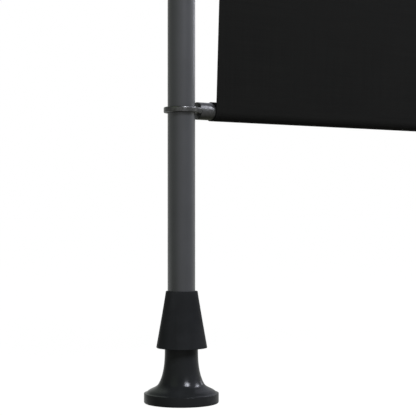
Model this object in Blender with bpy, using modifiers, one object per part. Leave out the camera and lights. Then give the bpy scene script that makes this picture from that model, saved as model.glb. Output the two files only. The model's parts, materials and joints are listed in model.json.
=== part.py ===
"""Clamp-pole roller screen: a roll-up privacy screen between two floor-to-ceiling clamp poles.

Units are metres and +Z is up. The origin is on the floor, midway between the two poles.
X runs along the screen and -Y is its front, the side that the fabric hangs off the roller.
"""

import math

import bmesh
import bpy
from mathutils import Vector

MM = 0.001
GAP = 0.3 * MM  # running gap between pieces that touch

# ---- screen layout
FABRIC_WIDTH = 1.200
CAP_REACH = 38 * MM  # pole axis to the side edge of the fabric
POLE_X = FABRIC_WIDTH / 2 + CAP_REACH
BAR_Z = 0.300
ROLLER_Y = -62 * MM
ROLLER_Z = 1.800
OVERALL_HEIGHT = 2.400

# ---- poles
TUBE_R = 14 * MM
TUBE_WALL = 1.2 * MM
TUBE_BOTTOM = 98 * MM
TUBE_TOP = 1.900
UPPER_R = 12.4 * MM
UPPER_WALL = 1.0 * MM
UPPER_BOTTOM = 1.150

# ---- flared pads, the same at the floor and at the ceiling
PAD_R = 38.4 * MM
PAD_RIM = 9.7 * MM
NECK_R = 16.8 * MM
NECK_START = 54 * MM
NECK_TOP = 74 * MM
FLARE_POWER = 2.35  # superellipse exponent of the concave flare
FLARE_POINTS = 9
SPINDLE_R = 6 * MM
SPINDLE_BOTTOM = 12 * MM
SPINDLE_TOP = 185 * MM

# ---- conical sleeves over the pole ends
SLEEVE_BOTTOM = 56.5 * MM
SLEEVE_TOP = 113.5 * MM
SLEEVE_BOTTOM_R = 26.2 * MM
SLEEVE_TOP_R = 16.4 * MM
WEB_BOTTOM = 86 * MM
WEB_TOP = 96 * MM

# ---- lock collar and knob
COLLAR_R = 18.5 * MM
COLLAR_BOTTOM = 1.880
COLLAR_TOP = 1.935
KNOB_Z = 1.918
KNOB_R = 12 * MM
KNOB_INNER = 24.5 * MM
KNOB_OUTER = 36.5 * MM

# ---- bottom bar
BAR_R = 8 * MM
HEM_R = 10 * MM
CAP_R = 9.1 * MM
CAP_INNER = 19.4 * MM  # pole axis to the cap's face
RING_R_IN = 15.2 * MM
RING_R_OUT = 18.2 * MM
RING_HEIGHT = 6.0 * MM
LUG_WIDTH = 17 * MM
TANG_WIDTH = 12 * MM
TANG_DEPTH = 6 * MM

# ---- roller
ROLLER_R = 19 * MM
ROLLER_HALF = 601.5 * MM
ROLL_R = 20.5 * MM  # with the fabric that is left on it
PLATE_IN = 604.0 * MM
PLATE_OUT = 607.5 * MM
SHEET_THICKNESS = 0.8 * MM
AXLE_R = 5 * MM
PLUG_FLANGE_R = 20 * MM
PLUG_FLANGE = 1.6 * MM

# ---- bracket clamps round the poles
CLAMP_R = 19.5 * MM
CLAMP_HEIGHT = 44 * MM
EAR_REACH = 34 * MM
EAR_BOLT_X = 24.5 * MM
EAR_DEPTH = 8 * MM
EAR_GAP = 0.6 * MM
BOLT_R = 3 * MM
BOLT_HEAD_R = 4.6 * MM
BOLT_HEAD = 5 * MM
FLANGE = 4 * MM

# ---- crank gearbox
BOX_IN = PLATE_OUT + GAP
BOX_OUT = 634 * MM
BOX_FRONT = -92 * MM
BOX_BACK = -42 * MM
BOX_HALF_HEIGHT = 24 * MM
BOX_WALL = 3 * MM
WHEEL_R = 13.5 * MM
WHEEL_TEETH = 20
WORM_R = 4.5 * MM
EYE_X = 622 * MM
EYE_Y = ROLLER_Y - WHEEL_R - GAP - WORM_R
EYE_STEM_R = 3 * MM
EYE_RING_R = 11 * MM
EYE_WIRE_R = 2.6 * MM
EYE_RING_Z = ROLLER_Z - BOX_HALF_HEIGHT - 22 * MM

PARTS = "clamp_pole_roller_screen"
CUTTERS = "cutters"


# ------------------------------------------------------------------ scene and materials
def clear_scene():
    for obj in list(bpy.data.objects):
        bpy.data.objects.remove(obj, do_unlink=True)
    for name in (PARTS, CUTTERS):
        collection = bpy.data.collections.get(name) or bpy.data.collections.new(name)
        if name not in bpy.context.scene.collection.children:
            bpy.context.scene.collection.children.link(collection)


def material(name, colour, roughness, metallic=0.0):
    mat = bpy.data.materials.new(name)
    mat.use_nodes = True
    shader = mat.node_tree.nodes["Principled BSDF"]
    shader.inputs["Base Color"].default_value = (*colour, 1.0)
    shader.inputs["Roughness"].default_value = roughness
    shader.inputs["Metallic"].default_value = metallic
    return mat


FINISHES = {
    "powder_coat": ((0.065, 0.067, 0.072), 0.45, 0.3),
    "cast_metal": ((0.085, 0.087, 0.090), 0.42, 0.5),
    "black_rubber": ((0.014, 0.014, 0.015), 0.38, 0.0),
    "black_plastic": ((0.013, 0.013, 0.014), 0.50, 0.0),
    "zinc_steel": ((0.55, 0.56, 0.57), 0.30, 1.0),
    "nylon": ((0.60, 0.60, 0.58), 0.55, 0.0),
    "brass": ((0.62, 0.47, 0.22), 0.35, 1.0),
    "black_fabric": ((0.012, 0.012, 0.012), 0.90, 0.0),
}


def link(obj, collection):
    for old in list(obj.users_collection):
        old.objects.unlink(obj)
    bpy.data.collections[collection].objects.link(obj)


def body(name, location=(0, 0, 0)):
    """An empty on a joint's axis. The pieces that move on that joint are its children."""
    empty = bpy.data.objects.new(name, None)
    empty.location = location
    link(empty, PARTS)
    return empty


def keep(obj, name, finish, parent, location=(0, 0, 0), rotation=(0, 0, 0)):
    """Name a finished object, give it its own material and hang it on its body's empty."""
    obj.name = name
    obj.data.name = name
    obj.data.materials.clear()
    obj.data.materials.append(material(name + "_finish", *FINISHES[finish]))
    link(obj, PARTS)
    obj.parent = parent
    obj.location = Vector(location) - parent.location
    obj.rotation_euler = rotation
    return obj


# ------------------------------------------------------------------ shapes
ALONG_X = (0, math.pi / 2, 0)  # turns a shape's +Z to +X
ALONG_Y = (math.pi / 2, 0, 0)  # turns a shape's +Z to -Y


def profile_object(name, outline, hollow):
    """Points (radius, height) as a chain of edges, or as a ring of edges for a hollow shape."""
    count = len(outline)
    edges = [(i, (i + 1) % count) for i in range(count if hollow else count - 1)]
    mesh = bpy.data.meshes.new(name)
    mesh.from_pydata([(r, 0, z) for r, z in outline], edges, [])
    obj = bpy.data.objects.new(name, mesh)
    link(obj, PARTS)
    return obj


def turned(name, outline, hollow=False, steps=24):
    """Turn an outline, which runs down its outer side, about Z."""
    obj = profile_object(name, outline, hollow)
    screw = obj.modifiers.new("turn", "SCREW")
    screw.steps = steps
    screw.render_steps = steps
    screw.use_merge_vertices = True
    screw.merge_threshold = 0.00001
    screw.use_smooth_shade = True
    return obj


def rod(name, radius, low, high, chamfer=0.4 * MM, steps=16):
    return turned(name, [(0, high), (radius - chamfer, high), (radius, high - chamfer),
                         (radius, low + chamfer), (radius - chamfer, low), (0, low)], steps=steps)


def pipe(name, outer, inner, low, high, steps=16):
    return turned(name, [(outer, high), (outer, low), (inner, low), (inner, high)], True, steps)


def primitive(name):
    obj = bpy.context.object
    obj.name = name
    link(obj, PARTS)
    return obj


def block(name, size, bevel=0.0):
    bpy.ops.mesh.primitive_cube_add(size=1)
    obj = primitive(name)
    obj.scale = size
    bpy.ops.object.transform_apply(location=False, rotation=False, scale=True)
    if bevel:
        edge = obj.modifiers.new("edges", "BEVEL")
        edge.width = bevel
        edge.segments = 2
    return obj


def flat_shape(name, points, thickness):
    """A flat outline in XY, extruded along Z about z = 0, as a closed mesh."""
    curve = bpy.data.curves.new(name, "CURVE")
    curve.dimensions = "2D"
    curve.fill_mode = "BOTH"
    curve.extrude = thickness / 2
    spline = curve.splines.new("POLY")
    spline.points.add(len(points) - 1)
    for point, (x, y) in zip(spline.points, points):
        point.co = (x, y, 0, 1)
    spline.use_cyclic_u = True
    source = bpy.data.objects.new(name, curve)
    link(source, PARTS)
    bpy.context.view_layer.update()
    evaluated = source.evaluated_get(bpy.context.evaluated_depsgraph_get())
    mesh = bpy.data.meshes.new_from_object(evaluated)
    shape = bmesh.new()
    shape.from_mesh(mesh)
    bmesh.ops.remove_doubles(shape, verts=shape.verts, dist=0.00001)
    bmesh.ops.recalc_face_normals(shape, faces=shape.faces)
    shape.to_mesh(mesh)
    shape.free()
    obj = bpy.data.objects.new(name, mesh)
    obj.matrix_world = source.matrix_world.copy()
    bpy.data.objects.remove(source)
    link(obj, PARTS)
    return obj


def combine(obj, tool, operation, location=(0, 0, 0), rotation=(0, 0, 0)):
    """Cut a tool out of an object, or join it on, at a place in the object's own frame."""
    tool.parent = obj
    tool.location = location
    tool.rotation_euler = rotation
    tool.hide_render = True
    tool.display_type = "WIRE"
    link(tool, CUTTERS)
    step = obj.modifiers.new(operation.lower(), "BOOLEAN")
    step.operation = operation
    step.object = tool


def cut(obj, tool, location=(0, 0, 0), rotation=(0, 0, 0)):
    combine(obj, tool, "DIFFERENCE", location, rotation)


def join(obj, tool, location=(0, 0, 0), rotation=(0, 0, 0)):
    combine(obj, tool, "UNION", location, rotation)


def arc(radius, start, end, count):
    """Points on a circle about the origin, from one angle to another in degrees."""
    turns = [math.radians(start + (end - start) * i / (count - 1)) for i in range(count)]
    return [(radius * math.cos(a), radius * math.sin(a)) for a in turns]


# ------------------------------------------------------------------ feet and ceiling pads
def pad_outline():
    """The flared pad: neck, concave superelliptic flare, rounded rim and flat sole."""
    reach = PAD_R - NECK_R
    drop = NECK_START - PAD_RIM
    flare = []
    for i in range(FLARE_POINTS):
        angle = math.pi / 2 * i / (FLARE_POINTS - 1)
        out = 1 - math.cos(angle) ** (2 / FLARE_POWER)
        down = math.sin(angle) ** (2 / FLARE_POWER)
        flare.append((NECK_R + reach * out, NECK_START - drop * down))
    rim = [(PAD_R, 1.2 * MM), (PAD_R - 1.2 * MM, 0), (0, 0)]
    return [(NECK_R - 0.8 * MM, NECK_TOP), (NECK_R, NECK_TOP - 0.8 * MM)] + flare + rim


def flared_pad(name, parent, place, upside_down):
    """A pad with a blind socket for its spindle, in one turned outline."""
    socket = SPINDLE_R + GAP
    outline = [(0, SPINDLE_BOTTOM), (socket, SPINDLE_BOTTOM), (socket, NECK_TOP)] + pad_outline()
    obj = turned(name, outline, steps=24)
    keep(obj, name, "black_rubber", parent, place, (math.pi if upside_down else 0, 0, 0))


def sleeve_radius(height):
    share = (height - SLEEVE_BOTTOM) / (SLEEVE_TOP - SLEEVE_BOTTOM)
    return SLEEVE_BOTTOM_R + share * (SLEEVE_TOP_R - SLEEVE_BOTTOM_R)


def sleeve(name, parent, place, tube_radius, upside_down):
    """A conical sleeve: skirt below, threaded web in the middle, socket for the tube above."""
    wall = 2.2 * MM
    bore = SPINDLE_R + GAP
    socket = tube_radius + GAP
    outline = [
        (SLEEVE_TOP_R - 0.5 * MM, SLEEVE_TOP),
        (SLEEVE_TOP_R, SLEEVE_TOP - 0.5 * MM),
        (SLEEVE_BOTTOM_R, SLEEVE_BOTTOM + 0.5 * MM),
        (SLEEVE_BOTTOM_R - 0.5 * MM, SLEEVE_BOTTOM),
        (SLEEVE_BOTTOM_R - wall, SLEEVE_BOTTOM),
        (sleeve_radius(WEB_BOTTOM) - wall, WEB_BOTTOM),
        (bore, WEB_BOTTOM),
        (bore, WEB_TOP),
        (socket, WEB_TOP),
        (socket, SLEEVE_TOP),
    ]
    obj = turned(name, outline, hollow=True)
    keep(obj, name, "black_plastic", parent, place, (math.pi if upside_down else 0, 0, 0))


# ------------------------------------------------------------------ one pole
def pole(side, sign, frame):
    x = sign * POLE_X
    floor = (x, 0, 0)
    ceiling = (x, 0, OVERALL_HEIGHT)
    foot = body(side + "_foot", floor)
    nut = body(side + "_foot_nut", (x, 0, WEB_BOTTOM))
    upper = body(side + "_upper_pole", (x, 0, TUBE_TOP))
    bore = SPINDLE_R + GAP

    # foot: rubber pad on a threaded spindle, raised and lowered by the sleeve nut
    flared_pad(side + "_foot_pad", foot, floor, False)
    name = side + "_foot_spindle"
    keep(rod(name, SPINDLE_R, SPINDLE_BOTTOM + GAP, SPINDLE_TOP), name, "zinc_steel", foot, floor)
    sleeve(side + "_sleeve_nut", nut, floor, TUBE_R, False)
    name = side + "_thrust_washer"
    washer = pipe(name, TUBE_R - 0.4 * MM, bore, WEB_TOP + GAP, TUBE_BOTTOM - GAP)
    keep(washer, name, "zinc_steel", frame, floor)

    # lower tube with the plug that guides the spindle
    inner = TUBE_R - TUBE_WALL
    name = side + "_tube_plug"
    plug = pipe(name, inner - GAP, bore, TUBE_BOTTOM + GAP, TUBE_BOTTOM + 30 * MM)
    keep(plug, name, "nylon", frame, floor)
    name = side + "_lower_tube"
    keep(pipe(name, TUBE_R, inner, TUBE_BOTTOM, TUBE_TOP, 32), name, "powder_coat", frame, floor)

    # upper tube with its guide plug below and its ceiling pad above
    upper_top = OVERALL_HEIGHT - TUBE_BOTTOM
    upper_inner = UPPER_R - UPPER_WALL
    name = side + "_upper_tube"
    tube = pipe(name, UPPER_R, upper_inner, UPPER_BOTTOM, upper_top, 28)
    keep(tube, name, "powder_coat", upper, floor)
    name = side + "_guide_plug"
    guide = turned(name, [
        (0, UPPER_BOTTOM + 15 * MM),
        (upper_inner - GAP, UPPER_BOTTOM + 15 * MM),
        (upper_inner - GAP, UPPER_BOTTOM - GAP),
        (inner - GAP, UPPER_BOTTOM - GAP),
        (inner - GAP, UPPER_BOTTOM - 15 * MM),
        (0, UPPER_BOTTOM - 15 * MM),
    ])
    keep(guide, name, "nylon", upper, floor)
    name = side + "_top_plug"
    top_plug = pipe(name, upper_inner - GAP, bore, upper_top - 30 * MM, upper_top - GAP)
    keep(top_plug, name, "nylon", upper, floor)
    name = side + "_ceiling_stem"
    stem = rod(name, SPINDLE_R, SPINDLE_BOTTOM + GAP, SPINDLE_TOP - 40 * MM)
    keep(stem, name, "zinc_steel", upper, ceiling, (math.pi, 0, 0))
    sleeve(side + "_ceiling_sleeve", upper, ceiling, UPPER_R, True)
    flared_pad(side + "_ceiling_pad", upper, ceiling, True)
    lock(side, sign, frame)


def lock(side, sign, frame):
    """The collar on the lower tube's mouth, with the knob that grips the upper tube."""
    x = sign * POLE_X
    knob = body(side + "_lock_knob_axis", (x, 0, KNOB_Z))
    step = TUBE_TOP + GAP
    name = side + "_lock_collar"
    collar = turned(name, [
        (COLLAR_R - 1 * MM, COLLAR_TOP),
        (COLLAR_R, COLLAR_TOP - 1 * MM),
        (COLLAR_R, COLLAR_BOTTOM + 1 * MM),
        (COLLAR_R - 1 * MM, COLLAR_BOTTOM),
        (TUBE_R + GAP, COLLAR_BOTTOM),
        (TUBE_R + GAP, step),
        (UPPER_R + GAP, step),
        (UPPER_R + GAP, COLLAR_TOP),
    ], hollow=True)
    out = (0, sign * math.pi / 2, 0)
    boss = rod(name + "_boss", 8 * MM, 15.5 * MM, KNOB_INNER - GAP, steps=20)
    join(collar, boss, (0, 0, KNOB_Z), out)
    hole = rod(name + "_hole", BOLT_R + GAP, UPPER_R - 2 * MM, KNOB_OUTER, steps=16)
    cut(collar, hole, (0, 0, KNOB_Z), out)
    keep(collar, name, "black_plastic", frame, (x, 0, 0))

    name = side + "_lock_knob"
    count = 36
    lobes = 6
    outline = []
    for i in range(count):
        angle = 2 * math.pi * i / count
        radius = KNOB_R + 1.1 * MM * math.cos(lobes * angle)
        outline.append((radius * math.cos(angle), radius * math.sin(angle)))
    head = flat_shape(name, outline, KNOB_OUTER - KNOB_INNER)
    middle = (KNOB_OUTER + KNOB_INNER) / 2
    stem = rod(name + "_stem", BOLT_R, UPPER_R + GAP - middle, 0, steps=16)
    join(head, stem)
    keep(head, name, "black_plastic", knob, (x + sign * middle, 0, KNOB_Z), out)


# ------------------------------------------------------------------ roller brackets
def clamp_half(name, frame, x, turn):
    """Half of a split clamp, on the -Y side before it is turned about Z."""
    grip = TUBE_R + GAP
    ear_start = math.degrees(math.asin(EAR_DEPTH / CLAMP_R))
    grip_start = math.degrees(math.asin(EAR_GAP / grip))
    outline = [(EAR_REACH, -EAR_GAP), (EAR_REACH, -EAR_DEPTH)]
    outline += arc(CLAMP_R, -ear_start, ear_start - 180, 11)
    outline += [(-EAR_REACH, -EAR_DEPTH), (-EAR_REACH, -EAR_GAP)]
    outline += arc(grip, grip_start - 180, -grip_start, 13)
    obj = flat_shape(name, outline, CLAMP_HEIGHT)
    for ear in (-1, 1):
        hole = rod(name + "_hole", BOLT_R + GAP, -20 * MM, 20 * MM)
        cut(obj, hole, (ear * EAR_BOLT_X, 0, 0), ALONG_Y)
    keep(obj, name, "cast_metal", frame, (x, 0, ROLLER_Z), (0, 0, turn))


def bolt(name, frame, x, head_y):
    """A cap screw along +Y with a hexagon socket; its head's underside is at head_y."""
    edge = 0.5 * MM
    tip = EAR_DEPTH + 7 * MM - head_y
    obj = turned(name, [
        (0, BOLT_HEAD),
        (BOLT_HEAD_R - edge, BOLT_HEAD),
        (BOLT_HEAD_R, BOLT_HEAD - edge),
        (BOLT_HEAD_R, 0),
        (BOLT_R, 0),
        (BOLT_R, -tip),
        (0, -tip),
    ], steps=16)
    bpy.ops.mesh.primitive_cylinder_add(vertices=6, radius=2.9 * MM, depth=6 * MM)
    cut(obj, primitive(name + "_socket"), (0, 0, BOLT_HEAD))
    keep(obj, name, "zinc_steel", frame, (x, head_y, ROLLER_Z), ALONG_Y)


def nut(name, frame, x):
    height = 5 * MM
    bpy.ops.mesh.primitive_cylinder_add(vertices=6, radius=5.8 * MM, depth=height)
    obj = primitive(name)
    cut(obj, rod(name + "_bore", BOLT_R + GAP, -height, height))
    keep(obj, name, "zinc_steel", frame, (x, EAR_DEPTH + GAP + height / 2, ROLLER_Z), ALONG_Y)


def bracket(side, sign, frame):
    """A split clamp, its two bolts and nuts, and the bent plate that carries the roller."""
    x = sign * POLE_X
    clamp_half(side + "_clamp_front", frame, x, 0)
    clamp_half(side + "_clamp_back", frame, x, math.pi)
    flange_back = -EAR_DEPTH - GAP
    flange_front = flange_back - FLANGE
    bolt(side + "_outer_bolt", frame, x + sign * EAR_BOLT_X, flange_back)
    bolt(side + "_inner_bolt", frame, x - sign * EAR_BOLT_X, flange_front - GAP)
    nut(side + "_outer_nut", frame, x + sign * EAR_BOLT_X)
    nut(side + "_inner_nut", frame, x - sign * EAR_BOLT_X)

    # the plate's outline is an L seen from above: a flange on the clamp's ear, then forward
    name = side + "_end_bracket"
    ear_edge = POLE_X - CLAMP_R
    outline = [
        (PLATE_IN, flange_back),
        (PLATE_IN, BOX_FRONT),
        (PLATE_OUT, BOX_FRONT),
        (PLATE_OUT, flange_front),
        (ear_edge, flange_front),
        (ear_edge, flange_back),
    ]
    outline = [(sign * px, py) for px, py in outline]
    plate = flat_shape(name, outline, CLAMP_HEIGHT)
    hole = rod(name + "_bolt_hole", BOLT_R + GAP, 0, 20 * MM)
    cut(plate, hole, (x - sign * EAR_BOLT_X, 0, 0), ALONG_Y)
    axle = rod(name + "_axle_hole", AXLE_R + GAP, PLATE_IN - 10 * MM, PLATE_OUT + 10 * MM)
    cut(plate, axle, (0, ROLLER_Y, 0), (0, sign * math.pi / 2, 0))
    keep(plate, name, "powder_coat", frame, (0, 0, ROLLER_Z))


# ------------------------------------------------------------------ roller
def roller_group(roller):
    centre = (0, ROLLER_Y, ROLLER_Z)
    inner = ROLLER_R - 1.2 * MM
    tube = pipe("roller_tube", ROLLER_R, inner, -ROLLER_HALF, ROLLER_HALF, 32)
    keep(tube, "roller_tube", "powder_coat", roller, centre, ALONG_X)
    wound = pipe("fabric_roll", ROLL_R, ROLLER_R + GAP, -FABRIC_WIDTH / 2, FABRIC_WIDTH / 2, 32)
    keep(wound, "fabric_roll", "black_fabric", roller, centre, ALONG_X)
    for side, sign in (("left", -1), ("right", 1)):
        name = side + "_roller_plug"
        flange = ROLLER_HALF + GAP
        edge = 0.5 * MM
        plug = turned(name, [
            (PLUG_FLANGE_R - edge, flange + PLUG_FLANGE),
            (PLUG_FLANGE_R, flange + PLUG_FLANGE - edge),
            (PLUG_FLANGE_R, flange),
            (inner - GAP, flange),
            (inner - GAP, ROLLER_HALF - 30 * MM),
            (AXLE_R + GAP, ROLLER_HALF - 30 * MM),
            (AXLE_R + GAP, flange + PLUG_FLANGE),
        ], hollow=True)
        keep(plug, name, "black_plastic", roller, centre, (0, sign * math.pi / 2, 0))


def idler_pin(frame):
    """The pin in the left plate that the roller's left plug turns on."""
    head = PLATE_OUT + GAP
    top = head + 4 * MM
    head_r = 9 * MM
    edge = 0.6 * MM
    pin = turned("left_idler_pin", [
        (0, top),
        (head_r - edge, top),
        (head_r, top - edge),
        (head_r, head),
        (AXLE_R, head),
        (AXLE_R, ROLLER_HALF - 25 * MM),
        (0, ROLLER_HALF - 25 * MM),
    ])
    keep(pin, "left_idler_pin", "zinc_steel", frame, (0, ROLLER_Y, ROLLER_Z), (0, -math.pi / 2, 0))


def gearbox(frame, roller, eye):
    """The crank gearbox on the right plate: worm on the crank eye, wheel on the roller shaft."""
    middle = ((BOX_IN + BOX_OUT) / 2, (BOX_FRONT + BOX_BACK) / 2, ROLLER_Z)
    size = Vector((BOX_OUT - BOX_IN, BOX_BACK - BOX_FRONT, 2 * BOX_HALF_HEIGHT))
    housing = block("gearbox_housing", size, 2 * MM)
    room = block("gearbox_room", (size.x, size.y - 2 * BOX_WALL, size.z - 2 * BOX_WALL))
    cut(housing, room, (BOX_WALL, 0, 0))
    shaft_hole = rod("gearbox_shaft_hole", AXLE_R + GAP, -20 * MM, 0)
    cut(housing, shaft_hole, (0, ROLLER_Y - middle[1], 0), ALONG_X)
    stem_hole = rod("gearbox_stem_hole", EYE_STEM_R + GAP, -40 * MM, 0)
    cut(housing, stem_hole, (EYE_X - middle[0], EYE_Y - middle[1], 0))
    keep(housing, "gearbox_housing", "black_plastic", frame, middle)

    cover = block("gearbox_cover", (BOX_WALL, size.y, size.z), 0.8 * MM)
    keep(cover, "gearbox_cover", "black_plastic", frame,
         (BOX_OUT + GAP + BOX_WALL / 2, middle[1], ROLLER_Z))

    shaft = rod("drive_shaft", AXLE_R, ROLLER_HALF - 25 * MM, BOX_OUT - 2 * MM)
    keep(shaft, "drive_shaft", "zinc_steel", roller, (0, ROLLER_Y, ROLLER_Z), ALONG_X)

    outline = []
    for tooth in range(WHEEL_TEETH):
        for share, radius in ((0, -2.2), (0.3, -2.2), (0.45, 0), (0.8, 0)):
            angle = 2 * math.pi * (tooth + share) / WHEEL_TEETH
            reach = WHEEL_R + radius * MM
            outline.append((reach * math.cos(angle), reach * math.sin(angle)))
    wheel = flat_shape("worm_wheel", outline, 8 * MM)
    cut(wheel, rod("worm_wheel_bore", AXLE_R + GAP, -10 * MM, 10 * MM))
    keep(wheel, "worm_wheel", "brass", roller, (EYE_X, ROLLER_Y, ROLLER_Z), ALONG_X)

    threads = 4
    pitch = 6 * MM
    length = threads * pitch
    outline = []
    for i in range(threads):
        top = length / 2 - i * pitch
        outline += [(WORM_R, top), (WORM_R, top - 2.4 * MM)]
        outline += [(WORM_R - 1 * MM, top - 3.0 * MM), (WORM_R - 1 * MM, top - 5.4 * MM)]
    outline += [(EYE_STEM_R + GAP, outline[-1][1]), (EYE_STEM_R + GAP, length / 2)]
    worm = turned("crank_worm", outline, hollow=True, steps=16)
    keep(worm, "crank_worm", "zinc_steel", eye, (EYE_X, EYE_Y, ROLLER_Z))

    bpy.ops.mesh.primitive_torus_add(
        major_radius=EYE_RING_R, minor_radius=EYE_WIRE_R, major_segments=24, minor_segments=8)
    ring = primitive("crank_eye")
    stem_low = EYE_RING_R - 1 * MM
    stem_high = ROLLER_Z + BOX_HALF_HEIGHT - BOX_WALL - GAP - EYE_RING_Z
    shoulder = ROLLER_Z - BOX_HALF_HEIGHT - GAP - EYE_RING_Z
    stem = turned("crank_eye_stem", [
        (0, stem_high),
        (EYE_STEM_R, stem_high),
        (EYE_STEM_R, shoulder),
        (4.5 * MM, shoulder),
        (4.5 * MM, stem_low + 2 * MM),
        (3 * MM, stem_low),
        (0, stem_low),
    ], steps=16)
    join(ring, stem, (0, 0, 0), (-math.pi / 2, 0, 0))
    keep(ring, "crank_eye", "zinc_steel", eye, (EYE_X, EYE_Y, EYE_RING_Z), (math.pi / 2, 0, 0))


# ------------------------------------------------------------------ bottom bar and fabric
def bottom_bar(bar):
    centre = (0, 0, BAR_Z)
    half = FABRIC_WIDTH / 2
    tube = pipe("bottom_bar_tube", BAR_R, BAR_R - 1 * MM, -half + GAP, half - GAP, 24)
    keep(tube, "bottom_bar_tube", "powder_coat", bar, centre, ALONG_X)
    hem = pipe("fabric_hem", HEM_R, BAR_R + GAP, -half + GAP, half - GAP, 28)
    keep(hem, "fabric_hem", "black_fabric", bar, centre, ALONG_X)
    for side, sign in (("left", -1), ("right", 1)):
        x = sign * POLE_X
        inward = (0, -sign * math.pi / 2, 0)

        # cap: a spigot in the bar tube and a barrel with a slot for the ring's lug
        name = side + "_bar_cap"
        spigot = BAR_R - 1 * MM - GAP
        cap = turned(name, [
            (0, CAP_REACH + 20 * MM),
            (spigot, CAP_REACH + 20 * MM),
            (spigot, CAP_REACH),
            (CAP_R, CAP_REACH),
            (CAP_R, CAP_INNER + 0.8 * MM),
            (CAP_R - 0.8 * MM, CAP_INNER),
            (0, CAP_INNER),
        ], steps=28)
        slot_size = (RING_HEIGHT + 2 * GAP, TANG_WIDTH + 2 * GAP, 2 * (TANG_DEPTH + GAP))
        cut(cap, block(name + "_slot", slot_size), (0, 0, CAP_INNER))
        keep(cap, name, "cast_metal", bar, (x, 0, BAR_Z), inward)

        # ring: it slides on the pole, its lug meets the cap's face and its tang sits in the slot
        name = side + "_pole_ring"
        edge = 1.0 * MM
        low, high = -RING_HEIGHT / 2, RING_HEIGHT / 2
        ring = turned(name, [
            (RING_R_OUT - edge, high),
            (RING_R_OUT, high - edge),
            (RING_R_OUT, low + edge),
            (RING_R_OUT - edge, low),
            (RING_R_IN + edge / 2, low),
            (RING_R_IN, low + edge / 2),
            (RING_R_IN, high - edge / 2),
            (RING_R_IN + edge / 2, high),
        ], hollow=True)
        lug_start = RING_R_OUT - 1.4 * MM
        lug_height = RING_HEIGHT - 0.2 * MM
        for part, width, end in (("lug", LUG_WIDTH, CAP_INNER - GAP),
                                 ("tang", TANG_WIDTH, CAP_INNER + TANG_DEPTH)):
            piece = block(f"{name}_{part}", (end - lug_start, width, lug_height))
            join(ring, piece, (-sign * (lug_start + end) / 2, 0, 0))
            lug_height -= 0.2 * MM
        keep(ring, name, "cast_metal", bar, (x, 0, BAR_Z))


def fabric_sheet(frame):
    """A thin slab on the common tangent of the hem and of the roll, on their front side."""
    low = Vector((0, 0, BAR_Z))
    high = Vector((0, ROLLER_Y, ROLLER_Z))
    along = (high - low).normalized()
    across = Vector((0, -along.z, along.y))
    lean = math.asin((ROLL_R - HEM_R) / (high - low).length)
    normal = across * math.cos(lean) - along * math.sin(lean)
    stand_off = GAP + SHEET_THICKNESS / 2
    start = low + normal * (HEM_R + stand_off)
    end = high + normal * (ROLL_R + stand_off)
    run = end - start
    sheet = block("fabric_sheet", (FABRIC_WIDTH, SHEET_THICKNESS, run.length))
    tilt = math.atan2(-run.y, run.z)
    keep(sheet, "fabric_sheet", "black_fabric", frame, (start + end) / 2, (tilt, 0, 0))


def build():
    clear_scene()
    frame = body("frame")
    roller = body("roller", (0, ROLLER_Y, ROLLER_Z))
    eye = body("crank_eye_axis", (EYE_X, EYE_Y, ROLLER_Z))
    bar = body("bottom_bar", (0, 0, BAR_Z))
    for side, sign in (("left", -1), ("right", 1)):
        pole(side, sign, frame)
        bracket(side, sign, frame)
    roller_group(roller)
    idler_pin(frame)
    gearbox(frame, roller, eye)
    bottom_bar(bar)
    fabric_sheet(frame)


build()
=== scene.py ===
"""Looks of the clamp-pole roller screen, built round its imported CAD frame.

Units are metres, +Z is up, X runs along the screen and -Y is its front.
"""

import json
import math

import bmesh
import bpy
from mathutils import Matrix, Vector

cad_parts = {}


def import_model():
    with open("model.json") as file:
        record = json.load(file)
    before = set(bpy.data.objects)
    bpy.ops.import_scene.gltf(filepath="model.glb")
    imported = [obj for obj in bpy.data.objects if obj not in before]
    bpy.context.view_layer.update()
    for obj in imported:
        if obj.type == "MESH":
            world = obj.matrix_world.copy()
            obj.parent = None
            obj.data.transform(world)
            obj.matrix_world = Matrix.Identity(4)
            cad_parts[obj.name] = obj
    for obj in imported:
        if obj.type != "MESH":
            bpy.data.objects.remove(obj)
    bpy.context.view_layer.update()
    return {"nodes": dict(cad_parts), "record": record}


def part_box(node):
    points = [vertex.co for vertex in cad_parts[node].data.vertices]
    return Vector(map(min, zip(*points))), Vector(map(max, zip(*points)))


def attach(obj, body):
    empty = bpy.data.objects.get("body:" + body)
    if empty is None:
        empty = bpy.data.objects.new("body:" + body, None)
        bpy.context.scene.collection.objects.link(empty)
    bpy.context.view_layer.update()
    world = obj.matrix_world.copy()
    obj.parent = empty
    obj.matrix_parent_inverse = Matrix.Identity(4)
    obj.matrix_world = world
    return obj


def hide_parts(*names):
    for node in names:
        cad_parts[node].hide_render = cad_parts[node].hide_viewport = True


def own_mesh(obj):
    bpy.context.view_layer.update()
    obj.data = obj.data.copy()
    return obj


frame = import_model()

MM = 0.001
SIDES = (("left", -1), ("right", 1))


# ------------------------------------------------------------------ places, read from the frame
def middle(node):
    low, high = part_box(node)
    return (low + high) / 2


def extent(node):
    low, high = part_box(node)
    return high - low


POLE_X = middle("right_lower_tube").x
TUBE_R = extent("left_lower_tube").x / 2
UPPER_R = extent("left_upper_tube").x / 2
OVERALL_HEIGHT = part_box("left_ceiling_pad")[1].z
BAR = middle("fabric_hem")
HEM_R = extent("fabric_hem").z / 2
HALF_WIDTH = extent("fabric_roll").x / 2
ROLL = middle("fabric_roll")
ROLL_R = extent("fabric_roll").z / 2
ROLLER_R = extent("roller_tube").z / 2
CLOTH = 0.45 * MM


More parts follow.
